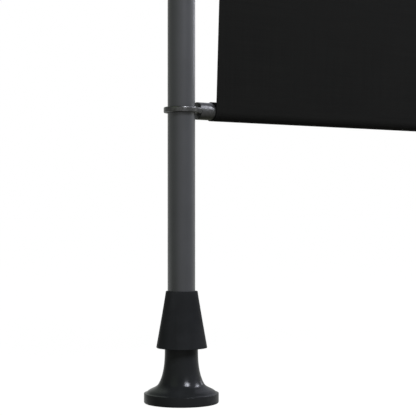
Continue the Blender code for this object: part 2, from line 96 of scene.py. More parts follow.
# ------------------------------------------------------------------ camera, stage and light
VIEW_AZIMUTH = math.radians(-37.6)
VIEW_DISTANCE = 1.3785  # camera to the left pole's axis, along the view
VIEW_HEIGHT = 0.1996
VIEW_SHIFT = 0.0273  # the pole's axis stands this far left of the view's middle
LENS = 116.3
AHEAD = Vector((-math.sin(VIEW_AZIMUTH), math.cos(VIEW_AZIMUTH), 0))
ASIDE = Vector((math.cos(VIEW_AZIMUTH), math.sin(VIEW_AZIMUTH), 0))
UP = Vector((0, 0, 1))


def camera():
    data = bpy.data.cameras.new("camera")
    data.lens = LENS
    data.sensor_width = 36
    data.clip_end = 60
    obj = bpy.data.objects.new("camera", data)
    bpy.context.scene.collection.objects.link(obj)
    pole = Vector((-POLE_X, 0, VIEW_HEIGHT))
    obj.location = pole - AHEAD * VIEW_DISTANCE + ASIDE * VIEW_SHIFT
    obj.rotation_mode = "QUATERNION"
    obj.rotation_quaternion = AHEAD.to_track_quat("-Z", "Y")
    bpy.context.scene.camera = obj


FLOOR_GLOW = 0.97  # share of the floor's brightness that is its own, so that it stays white


def floor():
    bpy.ops.mesh.primitive_plane_add(size=40)
    obj = bpy.context.object
    obj.name = "floor"
    obj.location.z = -0.5 * MM
    obj.visible_diffuse = False
    obj.visible_glossy = False
    mat, tree, shader = principled("floor_finish", (0.80, 0.80, 0.80), 0.9)
    shader.inputs["Specular IOR Level"].default_value = 0.0
    glow = tree.nodes.new("ShaderNodeEmission")
    glow.inputs["Strength"].default_value = 1.02
    path = tree.nodes.new("ShaderNodeLightPath")
    mix = tree.nodes.new("ShaderNodeMixShader")
    share = math_node(tree, "MULTIPLY", path.outputs["Is Camera Ray"], FLOOR_GLOW)
    tree.links.new(share, mix.inputs[0])
    tree.links.new(shader.outputs[0], mix.inputs[1])
    tree.links.new(glow.outputs[0], mix.inputs[2])
    tree.links.new(mix.outputs[0], tree.nodes["Material Output"].inputs["Surface"])
    obj.data.materials.append(mat)


def panel(name, place, side, power, aim):
    """A square softbox of a given side, turned towards aim and unseen by the camera."""
    data = bpy.data.lights.new(name, "AREA")
    data.shape = "RECTANGLE"
    data.size = data.size_y = side
    data.energy = power
    data.color = LAMP_COLOUR
    obj = bpy.data.objects.new(name, data)
    bpy.context.scene.collection.objects.link(obj)
    obj.location = place
    obj.rotation_euler = (aim - place).to_track_quat("-Z", "Y").to_euler()
    obj.visible_camera = False


# Soft light for the object alone, as patches of the sky round the camera's view: azimuth from
# the camera's side of the object, positive to the right, and elevation, both in degrees.
SKY = (
    # azimuths, elevations, edge softness, strength, colour
    ((-180, 180), (-12, 22), 20, 0.58, (0.97, 1.00, 0.98)),
    ((-30, 30), (-12, 22), 20, 0.29, (1.02, 1.00, 1.05)),
    ((90, 150), (-12, 22), 20, 0.45, (1.01, 1.00, 1.00)),
    ((-67, -22), (22, 58), 28, 1.43, (0.82, 1.00, 0.70)),
    ((67, 112), (22, 58), 28, 1.47, (0.98, 1.00, 1.28)),
    ((112, 180), (22, 58), 28, 0.85, (0.98, 1.00, 1.15)),
    ((-180, -112), (22, 58), 28, 0.70, (0.90, 1.00, 0.90)),
    ((-180, 180), (-60, -12), 24, 0.25, (0.96, 1.00, 0.80)),
    ((-150, -90), (-60, -12), 24, 1.22, (0.97, 1.00, 1.05)),
    ((-30, 90), (-60, -12), 24, 0.34, (1.05, 1.00, 1.2)),
    ((-180, -130), (-12, 22), 20, 0.20, (1.00, 1.00, 0.95)),
)


def window(tree, value, low, high, edge):
    """One inside low to high, nothing outside, with soft edges."""
    rise = ramp_node(tree, value, (low - edge / 2, 0.0), (low + edge / 2, 1.0))
    fall = ramp_node(tree, value, (high - edge / 2, 1.0), (high + edge / 2, 0.0))
    return math_node(tree, "MULTIPLY", rise, fall)


def dot_node(tree, value, axis):
    node = tree.nodes.new("ShaderNodeVectorMath")
    node.operation = "DOT_PRODUCT"
    node.inputs[1].default_value = axis
    tree.links.new(value, node.inputs[0])
    return node.outputs["Value"]


def world():
    """White to the camera; to the object, a dim room with soft bright patches."""
    sky = bpy.data.worlds.new("studio")
    bpy.context.scene.world = sky
    sky.use_nodes = True
    tree = sky.node_tree
    tree.nodes.clear()
    way = tree.nodes.new("ShaderNodeTexCoord").outputs["Generated"]
    right, near = dot_node(tree, way, ASIDE), dot_node(tree, way, -AHEAD)
    azimuth = math_node(tree, "DEGREES", math_node(tree, "ARCTAN2", right, near))
    height = math_node(tree, "DEGREES", math_node(tree, "ARCSINE", dot_node(tree, way, UP)))
    total = None
    for azimuths, heights, edge, strength, colour in SKY:
        inside = window(tree, height, *heights, edge)
        if azimuths != (-180, 180):
            low, high = azimuths
            # a patch that ends at the back, where the azimuth wraps round, has no soft edge there
            low, high = (low - edge if low == -180 else low), (high + edge if high == 180 else high)
            inside = math_node(tree, "MULTIPLY", inside, window(tree, azimuth, low, high, edge))
        glow = tree.nodes.new("ShaderNodeVectorMath")
        glow.operation = "MULTIPLY_ADD"
        glow.inputs[1].default_value = scaled(colour, strength)
        tree.links.new(inside, glow.inputs[0])
        if total is not None:
            tree.links.new(total, glow.inputs[2])
        total = glow.outputs[0]
    soft = tree.nodes.new("ShaderNodeBackground")
    tree.links.new(total, soft.inputs["Color"])
    white = tree.nodes.new("ShaderNodeBackground")
    white.inputs["Color"].default_value = (1, 1, 1, 1)
    path = tree.nodes.new("ShaderNodeLightPath")
    mix = tree.nodes.new("ShaderNodeMixShader")
    tree.links.new(path.outputs["Is Camera Ray"], mix.inputs[0])
    tree.links.new(soft.outputs[0], mix.inputs[1])
    tree.links.new(white.outputs[0], mix.inputs[2])
    out = tree.nodes.new("ShaderNodeOutputWorld")
    tree.links.new(mix.outputs[0], out.inputs["Surface"])


# Key and rim lamps light everything and the side lamp all but the sleeves. The others light
# only the pieces named at the end of the script.
LAMP_DISTANCE = 2.4
LAMP_COLOUR = (0.98, 1.00, 1.12)
LAMPS = (
    # name, azimuth and elevation as in SKY, side in metres, power in watts
    ("key_lamp", 34, 42, 0.74, 70),
    ("side_lamp", 104, 33, 0.6, 26),
    ("rim_lamp", 135, 14, 0.35, 3),
    ("cloth_lamp", -146, 28, 1.2, 60),
    ("gloss_lamp", 39, 45, 0.7, 150),
    ("gloss_side_lamp", 106, 38, 0.5, 44),
    ("sleeve_lamp", -62, 12, 0.9, 11),
    ("metal_lamp", 98, 44, 0.9, 11),
    ("metal_key_lamp", 30, 46, 0.7, 34),
)


def shine_on(name, pieces, gloss_only=False):
    """Keep a lamp to some pieces alone, as a flag in front of it would."""
    group = bpy.data.collections.new(name)
    for piece in pieces:
        group.objects.link(bpy.data.objects[piece])
    lamp = bpy.data.objects[name]
    lamp.light_linking.receiver_collection = group
    lamp.visible_diffuse = not gloss_only


def shade_from(name, pieces):
    """Keep a lamp off some pieces."""
    shine_on(name, pieces)
    group = bpy.data.objects[name].light_linking.receiver_collection
    for member in group.collection_objects:
        member.light_linking.link_state = "EXCLUDE"


def studio():
    bpy.context.scene.view_settings.view_transform = "Standard"
    target = Vector((-POLE_X, 0, 0.1))
    camera()
    floor()
    world()
    for name, azimuth, height, side, power in LAMPS:
        turn, rise = math.radians(azimuth), math.radians(height)
        way = AHEAD * -math.cos(turn) + ASIDE * math.sin(turn)
        way = way * math.cos(rise) + UP * math.sin(rise)
        panel(name, target + way * LAMP_DISTANCE, side, power, target)


# ------------------------------------------------------------------ shader helpers
def principled(name, colour, roughness, metallic=0.0):
    mat = bpy.data.materials.new(name)
    mat.use_nodes = True
    tree = mat.node_tree
    shader = tree.nodes["Principled BSDF"]
    shader.inputs["Base Color"].default_value = (*colour, 1)
    shader.inputs["Roughness"].default_value = roughness
    shader.inputs["Metallic"].default_value = metallic
    return mat, tree, shader


def plug(tree, value, socket):
    if isinstance(value, bpy.types.NodeSocket):
        tree.links.new(value, socket)
    else:
        socket.default_value = value


def math_node(tree, operation, a, b=0.0):
    node = tree.nodes.new("ShaderNodeMath")
    node.operation = operation
    plug(tree, a, node.inputs[0])
    plug(tree, b, node.inputs[1])
    return node.outputs[0]


def ramp_node(tree, value, start, end):
    """Map a value smoothly from start = (in, out) to end = (in, out)."""
    node = tree.nodes.new("ShaderNodeMapRange")
    node.interpolation_type = "SMOOTHSTEP"
    plug(tree, value, node.inputs["Value"])
    node.inputs["From Min"].default_value, node.inputs["To Min"].default_value = start
    node.inputs["From Max"].default_value, node.inputs["To Max"].default_value = end
    return node.outputs["Result"]


def coordinates(tree, stretch=(1, 1, 1), source="Object"):
    place = tree.nodes.new("ShaderNodeTexCoord")
    scale = tree.nodes.new("ShaderNodeVectorMath")
    scale.operation = "MULTIPLY"
    scale.inputs[1].default_value = stretch
    tree.links.new(place.outputs[source], scale.inputs[0])
    return scale.outputs[0]


def noise(tree, where, scale, detail=3.0, roughness=0.55):
    node = tree.nodes.new("ShaderNodeTexNoise")
    tree.links.new(where, node.inputs["Vector"])
    node.inputs["Scale"].default_value = scale
    node.inputs["Detail"].default_value = detail
    node.inputs["Roughness"].default_value = roughness
    return node.outputs["Fac"]


def tint(tree, share, dark, light, shader):
    """Base colour between two colours."""
    mix = tree.nodes.new("ShaderNodeMix")
    mix.data_type = "RGBA"
    plug(tree, share, mix.inputs["Factor"])
    mix.inputs["A"].default_value = (*dark, 1)
    mix.inputs["B"].default_value = (*light, 1)
    tree.links.new(mix.outputs["Result"], shader.inputs["Base Color"])


def bump(tree, height, strength, distance, shader):
    node = tree.nodes.new("ShaderNodeBump")
    node.inputs["Strength"].default_value = strength
    node.inputs["Distance"].default_value = distance
    tree.links.new(height, node.inputs["Height"])
    tree.links.new(node.outputs["Normal"], shader.inputs["Normal"])


def scaled(colour, factor):
    return tuple(c * factor for c in colour)


# ------------------------------------------------------------------ materials
def powder_coat(name, colour=(0.0247, 0.0255, 0.0265), roughness=0.34):
    """Satin powder coat: fine orange peel, faint mottling and slightly uneven gloss."""
    mat, tree, shader = principled(name, colour, roughness)
    where = coordinates(tree)
    peel = noise(tree, where, 900, 2.0)
    cloud = noise(tree, where, 22, 4.0)
    tint(tree, ramp_node(tree, cloud, (0.3, 0.0), (0.7, 1.0)),
         scaled(colour, 0.94), scaled(colour, 1.06), shader)
    gloss = ramp_node(tree, cloud, (0.3, roughness - 0.03), (0.7, roughness + 0.04))
    tree.links.new(gloss, shader.inputs["Roughness"])
    bump(tree, peel, 0.10, 0.12 * MM, shader)
    return mat


def cast_metal(name, colour=(0.0635, 0.0635, 0.0610), roughness=0.32):
    """Die-cast zinc under a thin grey coat: metallic sheen with fine speckle."""
    mat, tree, shader = principled(name, colour, roughness, 0.95)
    where = coordinates(tree)
    speckle = noise(tree, where, 620, 3.0, 0.75)
    patch = noise(tree, where, 160, 3.0)
    tint(tree, ramp_node(tree, speckle, (0.36, 0.0), (0.66, 1.0)),
         scaled(colour, 0.80), scaled(colour, 1.26), shader)
    gloss = ramp_node(tree, patch, (0.3, roughness - 0.05), (0.7, roughness + 0.07))
    tree.links.new(gloss, shader.inputs["Roughness"])
    bump(tree, speckle, 0.22, 0.08 * MM, shader)
    return mat


def black_rubber(name, colour=(0.0100, 0.0105, 0.0106), roughness=0.21):
    """Smooth moulded rubber: soft gloss, tiny pits and a trace of dust."""
    mat, tree, shader = principled(name, colour, roughness)
    shader.inputs["Specular IOR Level"].default_value = 0.05
    where = coordinates(tree)
    pit = noise(tree, where, 700, 3.0)
    smear = noise(tree, where, 35, 5.0, 0.6)
    tint(tree, ramp_node(tree, smear, (0.45, 0.0), (0.80, 1.0)),
         colour, scaled(colour, 1.55), shader)
    gloss = ramp_node(tree, smear, (0.35, roughness - 0.03), (0.75, roughness + 0.08))
    tree.links.new(gloss, shader.inputs["Roughness"])
    bump(tree, pit, 0.08, 0.10 * MM, shader)
    return mat


def black_plastic(name, colour=(0.0114, 0.0118, 0.0121), roughness=0.36):
    """Moulded black plastic with a fine spark-eroded grain."""
    mat, tree, shader = principled(name, colour, roughness)
    shader.inputs["Specular IOR Level"].default_value = 0.008
    where = coordinates(tree)
    grain = noise(tree, where, 1100, 2.0, 0.6)
    cloud = noise(tree, where, 30, 4.0)
    tint(tree, ramp_node(tree, cloud, (0.35, 0.0), (0.70, 1.0)),
         scaled(colour, 0.9), scaled(colour, 1.2), shader)
    gloss = ramp_node(tree, grain, (0.3, roughness - 0.05), (0.7, roughness + 0.05))
    tree.links.new(gloss, shader.inputs["Roughness"])
    bump(tree, grain, 0.12, 0.10 * MM, shader)
    return mat


def zinc_steel(name, colour=(0.56, 0.57, 0.58), roughness=0.28):
    """Bright zinc plate with fine brush marks and dull patches."""
    mat, tree, shader = principled(name, colour, roughness, 1.0)
    brush = noise(tree, coordinates(tree, (90, 90, 1500)), 1.0, 4.0, 0.7)
    patch = noise(tree, coordinates(tree), 120, 4.0)
    tint(tree, ramp_node(tree, patch, (0.3, 0.0), (0.7, 1.0)),
         scaled(colour, 0.86), scaled(colour, 1.08), shader)
    gloss = ramp_node(tree, brush, (0.3, roughness - 0.07), (0.7, roughness + 0.12))
    tree.links.new(gloss, shader.inputs["Roughness"])
    bump(tree, brush, 0.10, 0.05 * MM, shader)
    return mat


def nylon(name, colour=(0.60, 0.60, 0.57), roughness=0.5):
    """Natural moulded nylon, slightly clouded and milky."""
    mat, tree, shader = principled(name, colour, roughness)
    cloud = noise(tree, coordinates(tree), 90, 4.0)
    tint(tree, ramp_node(tree, cloud, (0.3, 0.0), (0.7, 1.0)),
         scaled(colour, 0.93), scaled(colour, 1.04), shader)
    shader.inputs["Subsurface Weight"].default_value = 0.1
    shader.inputs["Subsurface Radius"].default_value = (1 * MM, 1 * MM, 1 * MM)
    bump(tree, cloud, 0.1, 0.1 * MM, shader)
    return mat


def brass(name):
    return zinc_steel(name, (0.62, 0.46, 0.21), 0.32)


THREAD = 0.62 * MM  # spacing of the cloth's threads


def woven(name, colour=(0.0040, 0.0040, 0.0034)):
    """Plain weave, worked out from UV coordinates in metres: each thread passes over and under."""
    mat, tree, shader = principled(name, colour, 0.82)
    shader.inputs["Specular IOR Level"].default_value = 0.03
    shader.inputs["Sheen Weight"].default_value = 0.01
    shader.inputs["Sheen Roughness"].default_value = 0.5
    split = tree.nodes.new("ShaderNodeSeparateXYZ")
    pitch = 1 / THREAD
    tree.links.new(coordinates(tree, (pitch, pitch, 1), "UV"), split.inputs[0])
    u, v = split.outputs["X"], split.outputs["Y"]

    def thread(across, along, phase):
        row = math_node(tree, "FLOOR", across)
        angle = math_node(tree, "MULTIPLY", math_node(tree, "ADD", along, row), math.pi)
        lift = math_node(tree, "COSINE", math_node(tree, "ADD", angle, phase))
        lift = math_node(tree, "MULTIPLY", math_node(tree, "ADD", lift, 1.25), 0.45)
        back = math_node(tree, "ABSOLUTE", math_node(tree, "SINE", math_node(
            tree, "MULTIPLY", across, math.pi)))
        return math_node(tree, "MULTIPLY", back, lift)

    height = math_node(tree, "MAXIMUM", thread(u, v, 0.0), thread(v, u, math.pi))
    warp = noise(tree, coordinates(tree, (900, 9, 1), "UV"), 1.0, 2.0)
    weft = noise(tree, coordinates(tree, (9, 900, 1), "UV"), 1.0, 2.0)
    slub = math_node(tree, "ADD", warp, weft)
    # The threads' height darkens the colour in the dips between threads and lightens it on their tops:
    # painted shade and painted light. The slub noise adds random tone along warp and weft.
    painted_shade_and_slub = math_node(tree, "ADD", math_node(tree, "MULTIPLY", height, 0.55),
                      math_node(tree, "MULTIPLY", math_node(tree, "SUBTRACT", slub, 1.0), 1.3))
    tint(tree, ramp_node(tree, painted_shade_and_slub, (-0.15, 0.0), (0.75, 1.0)),
         scaled(colour, 0.70), scaled(colour, 1.35), shader)
    gloss = ramp_node(tree, slub, (0.7, 0.76), (1.3, 0.88))
    tree.links.new(gloss, shader.inputs["Roughness"])
    bump(tree, height, 0.55, 0.12 * MM, shader)
    return mat


SLOTS = {
    "powder_coat": powder_coat,
    "cast_metal": cast_metal,
    "black_rubber": black_rubber,
    "black_plastic": black_plastic,
    "zinc_steel": zinc_steel,
    "nylon": nylon,
    "brass": brass,
    "black_fabric": woven,
}


# ------------------------------------------------------------------ mesh helpers
def new_object(name, mesh):
    obj = bpy.data.objects.new(name, mesh)
    bpy.context.scene.collection.objects.link(obj)
    return obj


def finish_piece(obj, body, slot, *nodes):
    """Material, slot, body and the CAD nodes that a piece stands for."""
    obj.data.materials.clear()
    obj.data.materials.append(FINISH[slot])
    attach(obj, body)
    if nodes:
        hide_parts(*nodes)


def rounded(outline, size, steps=5, closed=False):
    """Fillet the corners of an outline. size is one radius, or one for each corner."""
    count = len(outline)
    sizes = size if hasattr(size, "__len__") else [size] * count
    points = [Vector(p) for p in outline]
    made = []
    for i, here in enumerate(points):
        if (not closed and i in (0, count - 1)) or sizes[i] <= 0:
            made.append(tuple(here))
            continue
        before, after = points[i - 1], points[(i + 1) % count]
        one, two = before - here, after - here
        turn = one.angle(two, math.pi)
        if turn > math.radians(179):
            made.append(tuple(here))
            continue
        reach = min(sizes[i] / math.tan(turn / 2), 0.49 * one.length, 0.49 * two.length)
        radius = reach * math.tan(turn / 2)
        a, b = here + one.normalized() * reach, here + two.normalized() * reach
        centre = here + (one.normalized() + two.normalized()).normalized() * (
            radius / math.sin(turn / 2))
        for k in range(steps + 1):
            spot = a.lerp(b, k / steps) - centre
            made.append(tuple(centre + spot.normalized() * radius))
    return made


def lathe(name, outline, steps=96, closed=False):
    """Turn (radius, height) points about Z. The outline runs down its outer side."""
    verts, rings, faces = [], [], []
    for radius, height in outline:
        if radius < 1e-7:
            rings.append([len(verts)] * steps)
            verts.append((0, 0, height))
            continue
        rings.append(list(range(len(verts), len(verts) + steps)))
        for i in range(steps):
            angle = 2 * math.pi * i / steps
            verts.append((radius * math.cos(angle), radius * math.sin(angle), height))
    pairs = list(zip(rings, rings[1:]))
    if closed:
        pairs.append((rings[-1], rings[0]))
    for high, low in pairs:
        for i in range(steps):
            k = (i + 1) % steps
            corners = [high[i], low[i], low[k], high[k]]
            corners = list(dict.fromkeys(corners))
            if len(corners) > 2:
                faces.append(corners)
    mesh = bpy.data.meshes.new(name)
    mesh.from_pydata(verts, [], faces)
    mesh.update()
    smooth(mesh)
    return new_object(name, mesh)


def smooth(mesh, angle=38):
    mesh.shade_smooth()
    mesh.set_sharp_from_angle(angle=math.radians(angle))


def ring_pipe(name, outer, inner, low, high, lip=0.4 * MM, steps=96):
    outline = rounded([(outer, high), (outer, low), (inner, low), (inner, high)], lip, 4, True)
    return lathe(name, outline, steps, True)


# ------------------------------------------------------------------ feet and ceiling pads
def pad_outline(base, neck, top, rim):
    """Neck, concave superelliptic flare with a fuller foot, rounded rim and flat sole."""
    power = 2.35
    start = 54 * MM
    fill_height, fill_spread, fill_depth = 12.6 * MM, 3.3 * MM, 4.6 * MM
    flare = []
    for i in range(33):
        angle = math.pi / 2 * i / 32
        out = 1 - math.cos(angle) ** (2 / power)
        down = math.sin(angle) ** (2 / power)
        height = start - (start - rim) * down
        fill = fill_depth * math.exp(-((height - fill_height) / fill_spread) ** 2)
        flare.append((min(base, neck + (base - neck) * out + fill), height))
    flare = [spot for spot in flare if spot[0] < base - 0.2 * MM]
    corner = [flare[-1], (base, rim), (base, 0), (base - 6 * MM, 0)]
    edge = rounded(corner, [0, 0.6 * MM, 1.5 * MM, 0], 6)
    return [(neck - 1 * MM, top), (neck, top - 1 * MM)] + flare[:-1] + edge + [(0, 0)]


def flared_pad(side, sign, kind):
    node = f"{side}_{kind}_pad"
    low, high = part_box(node)
    base = (high.x - low.x) / 2
    top = 74 * MM
    outline = [(0, top)] + pad_outline(base, 17.05 * MM, top, 10.0 * MM)
    obj = lathe(node + "_rubber", outline, 128)
    upside_down = kind == "ceiling"
    obj.location = (sign * POLE_X, 0, high.z if upside_down else low.z)
    obj.rotation_euler.x = math.pi if upside_down else 0
    body = side + ("_upper_pole" if upside_down else "_foot")
    finish_piece(obj, body, "black_rubber", node)


def cone(narrow, wide, top, share):
    """A point of the sleeve's slightly hollow side, share 0 at its top to 1 at its bottom."""
    return (narrow + (wide - narrow) * share ** 1.05, top * (1 - share))


def flute(mesh, narrow, wide, top):
    """Press six shallow grip flutes, wider towards the bottom, into the sleeve's outer side."""
    first, half, depth = math.radians(32.4), math.radians(10.5), 0.5 * MM
    for vert in mesh.vertices:
        share = 1 - vert.co.z / top
        out = math.hypot(vert.co.x, vert.co.y)
        if share <= 0.05 or out < cone(narrow, wide, top, share)[0] - 0.5 * MM:
            continue
        turn = math.atan2(vert.co.y, vert.co.x) - first
        off = (turn + math.pi / 6) % (math.pi / 3) - math.pi / 6
        shape = max(0.0, 1 - (off / (half * share)) ** 2)
        factor = 1 - depth * share * shape / out
        vert.co.x *= factor
        vert.co.y *= factor
    smooth(mesh, 30)


def sleeve(side, sign, kind):
    node = side + ("_sleeve_nut" if kind == "foot" else "_ceiling_sleeve")
    low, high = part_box(node)
    wide = (high.x - low.x) / 2
    top = high.z - low.z + 1 * MM
    narrow = 16.3 * MM
    bore = (TUBE_R if kind == "foot" else UPPER_R) + 0.5 * MM
    screw_hole = 6.3 * MM
    web = 29.5 * MM
    web_top = web + 10 * MM
    outline = [
        (narrow, top),
        *[cone(narrow, wide, top, i / 24) for i in range(1, 24)],
        (wide, 0),
        (wide - 2.2 * MM, 0),
        (19 * MM, web),
        (screw_hole, web),
        (screw_hole, web_top),
        (bore, web_top),
        (bore, top),
    ]
    size = [0.5 * MM] + [0] * 23 + [0.3 * MM, 0.4 * MM, 0.5 * MM, 0.2 * MM, 0.2 * MM, 0.2 * MM, 0.4 * MM]
    obj = lathe(node + "_shell", rounded(outline, size, 5, True), 288, True)
    flute(obj.data, narrow, wide, top)
    upside_down = kind == "ceiling"
    play = ASIDE * 0.38 * MM  # the sleeve is loose on the tube and leans to one side
    obj.location = (sign * POLE_X + play.x, play.y, high.z if upside_down else low.z)
    obj.rotation_euler.x = math.pi if upside_down else 0
    body = side + ("_upper_pole" if upside_down else "_foot_nut")
    finish_piece(obj, body, "black_plastic", node)


# ------------------------------------------------------------------ poles
def tubes(side, sign):
    coat = 0.15 * MM  # the lower tube's powder coat
    for kind, radius, wall, body in (("lower", TUBE_R + coat, 1.2 * MM, "frame"),
                                     ("upper", UPPER_R, 1.0 * MM, side + "_upper_pole")):
        node = f"{side}_{kind}_tube"
        low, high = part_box(node)
        obj = ring_pipe(node + "_steel", radius, radius - wall, low.z, high.z, 0.35 * MM)
        obj.location = (sign * POLE_X, 0, 0)
        finish_piece(obj, body, "powder_coat", node)


# ------------------------------------------------------------------ bottom bar
def ring_outline(outer, lug, lug_end, tang, tang_end):
    """Half of the ring's plan, y above 0: from the tang's tip back over the lug to the far side."""
    meet = math.asin((lug + 2.2 * MM) / outer)
    points = [(tang_end, 0), (tang_end, tang), (lug_end, tang), (lug_end, lug),
              (outer * math.cos(meet) + 0.6 * MM, lug), (outer * math.cos(meet), lug + 2.2 * MM)]
    corner = rounded(points, [0, 0.5 * MM, 0, 0.1 * MM, 3 * MM, 0], 5)
    turns = [meet + (math.pi - meet) * i / 60 for i in range(1, 61)]
    return corner + [(outer * math.cos(a), outer * math.sin(a)) for a in turns]


def swept(name, sections):
    """Join closed rings of points, each the same length, into a closed tube of quads."""
    count = len(sections[0])
    verts = [point for section in sections for point in section]
    faces = []
    for j in range(len(sections)):
        here, after = j * count, (j + 1) % len(sections) * count
        for i in range(count):
            k = (i + 1) % count
            faces.append((here + i, after + i, after + k, here + k))
    mesh = bpy.data.meshes.new(name)
    mesh.from_pydata(verts, [], faces)
    mesh.update()
    smooth(mesh)
    return new_object(name, mesh)


def bar_end(side, sign):
    """The barrel cap and the ring that slides on the pole."""
    cap_node, ring_node = side + "_bar_cap", side + "_pole_ring"
    cap_r = extent(cap_node).z / 2
    shoulder = POLE_X - HALF_WIDTH
    face = POLE_X - max(abs(corner.x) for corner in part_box(cap_node))
    tail = shoulder + 20 * MM
    spigot = 6.7 * MM
    outline = [(0, tail), (spigot, tail), (spigot, shoulder), (cap_r, shoulder), (cap_r, face), (0, face)]
    outline = rounded(outline, [0, 0.4 * MM, 0.2 * MM, 0.3 * MM, 0.35 * MM, 0], 5)
    cap = lathe(cap_node + "_barrel", outline, 96)
    half = extent(ring_node).z / 2
    opening = 2 * half + 0.1 * MM
    groove, slot = (30 * MM, 1.6 * MM), (12.2 * MM, 12.6 * MM)  # width, depth both ways from the face
    pin_r, pin_down, pin_aside = 0.9 * MM, 4.4 * MM, 2.6 * MM
    carve(cap, (opening, *groove), (0, 0, face))
    carve(cap, (opening, *slot), (0, 0, face))
    drill(cap, pin_r, 4 * MM, (-sign * pin_down, -pin_aside, face))
    cap.location = (sign * POLE_X, 0, BAR.z)
    cap.rotation_euler.y = -sign * math.pi / 2
    finish_piece(cap, "bottom_bar", "cast_metal", cap_node)

    inner = 15.2 * MM
    plan = ring_outline(18.2 * MM, 8.95 * MM, face + 0.75 * MM, 6 * MM, face + 6 * MM)
    plan += [(x, -y) for x, y in reversed(plan[1:-1])]
    sections = []
    for x, y in plan:
        reach = math.hypot(x, y)
        section = [(reach, half), (reach, -half), (inner, -half), (inner, half)]
        section = rounded(section, [1.2 * MM, 1.2 * MM, 0.8 * MM, 0.8 * MM], 5, True)
        sections.append([(r * x / reach, r * y / reach, z) for r, z in section])
    ring = swept(ring_node + "_band", sections)
    ring.location = (sign * POLE_X, 0, BAR.z)
    ring.rotation_euler.z = math.pi if sign > 0 else 0
    finish_piece(ring, "bottom_bar", "cast_metal", ring_node)


def bake_transform(obj):
    """Move an object's place, turn and size into its mesh."""
    bpy.context.view_layer.update()
    obj.data.transform(obj.matrix_world)
    obj.matrix_world = Matrix.Identity(4)


def apply_modifiers(obj):
    """Keep the shape that the modifiers make, and drop them."""
    bpy.context.view_layer.update()
    evaluated = obj.evaluated_get(bpy.context.evaluated_depsgraph_get())
    mesh = bpy.data.meshes.new_from_object(evaluated)
    obj.modifiers.clear()
    obj.data = mesh


def cut(obj, tool):
    """Take a tool's shape out of an object, for good. Both are meshes in the same frame."""
    step = obj.modifiers.new("boolean", "BOOLEAN")
    step.operation = "DIFFERENCE"
    step.object = tool
    apply_modifiers(obj)
    bpy.data.objects.remove(tool)
    smooth(obj.data)


def carve(obj, size, place):
    """Cut a box out of an object."""
    bpy.ops.mesh.primitive_cube_add(size=1)
    tool = bpy.context.object
    tool.scale = size
    tool.location = place
    bake_transform(tool)
    cut(obj, tool)


def drill(obj, radius, depth, place):
    """Cut a round hole along Z into an object."""
    bpy.ops.mesh.primitive_cylinder_add(vertices=24, radius=radius, depth=depth, location=place)
    tool = bpy.context.object
    bake_transform(tool)
    cut(obj, tool)


# ------------------------------------------------------------------ cloth
def cloth_frame():
    """The straight run of cloth: its ends, on the hem and on the roll, and its outward normal."""
    low, high = Vector((0, 0, BAR.z)), Vector((0, ROLL.y, ROLL.z))
    along = (high - low).normalized()
    across = Vector((0, -along.z, along.y))
    lean = math.asin((ROLL_R - HEM_R) / (high - low).length)
    normal = across * math.cos(lean) - along * math.sin(lean)
    return low + normal * HEM_R, high + normal * ROLL_R, normal


def cloth(name, columns, rows, place, metres):
    """A shell of cloth. place(u, v) is its middle surface and metres(u, v) its UV, u and v 0 to 1."""
    tiny = 1e-4  # step in u and v for the surface's slope
    spots, normals, uvs = [], [], []
    for j in range(rows + 1):
        for i in range(columns + 1):
            u, v = i / columns, j / rows
            spot = Vector(place(u, v))
            across = Vector(place(u + tiny, v)) - Vector(place(u - tiny, v))
            along = Vector(place(u, v + tiny)) - Vector(place(u, v - tiny))
            spots.append(spot)
            normals.append(across.cross(along).normalized() * CLOTH / 2)
            uvs.append(metres(u, v))
    count, wide = len(spots), columns + 1
    verts = [s + n for s, n in zip(spots, normals)] + [s - n for s, n in zip(spots, normals)]
    faces = []
    for j in range(rows):
        for i in range(columns):
            a = j * wide + i
            b, c, d = a + 1, a + wide + 1, a + wide
            faces += [(a, b, c, d), (d + count, c + count, b + count, a + count)]
    edge = list(range(wide))
    edge += [j * wide + columns for j in range(1, rows + 1)]
    edge += [rows * wide + i for i in range(columns - 1, -1, -1)]
    edge += [j * wide for j in range(rows - 1, 0, -1)]
    for a, b in zip(edge, edge[1:] + edge[:1]):
        faces.append((a + count, b + count, b, a))
    mesh = bpy.data.meshes.new(name)
    mesh.from_pydata(verts, [], faces)
    layer = mesh.uv_layers.new(name="UVMap")
    for loop in mesh.loops:
        layer.data[loop.index].uv = uvs[loop.vertex_index % count]
    smooth(mesh, 60)
    return new_object(name, mesh)


def shorten(piece):
    """Give a piece a mesh of its own."""
    start, end, normal = cloth_frame()
    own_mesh(piece)


def seam():
    """The hem's free edge, turned up behind the sheet, and the two rows of thread that hold it."""
    start, end, normal = cloth_frame()
    along = (end - start).normalized()
    behind = normal * (1.5 * CLOTH + 0.03 * MM)
    low, tall, seam_height = 3.8 * MM, 16.2 * MM, 17 * MM

    def place(u, v):
        spot = start + along * (low + tall * v) - behind
        spot.x = (u - 0.5) * 2 * (HALF_WIDTH - 0.4 * MM)
        return spot

    def metres(u, v):
        return (u * 2 * HALF_WIDTH, v * tall)

    flap = cloth("fabric_hem_flap", 60, 8, place, metres)
    finish_piece(flap, "bottom_bar", "black_fabric")

    row = start + along * seam_height
    rows = [row - normal * 0.08 * MM, row + along * 0.8 * MM - behind - normal * CLOTH * 0.55]
    stitches = sewn("fabric_hem_stitches", rows, along, normal)
    finish_piece(stitches, "bottom_bar", "black_fabric")
    return "fabric_hem_flap", "fabric_hem_stitches"


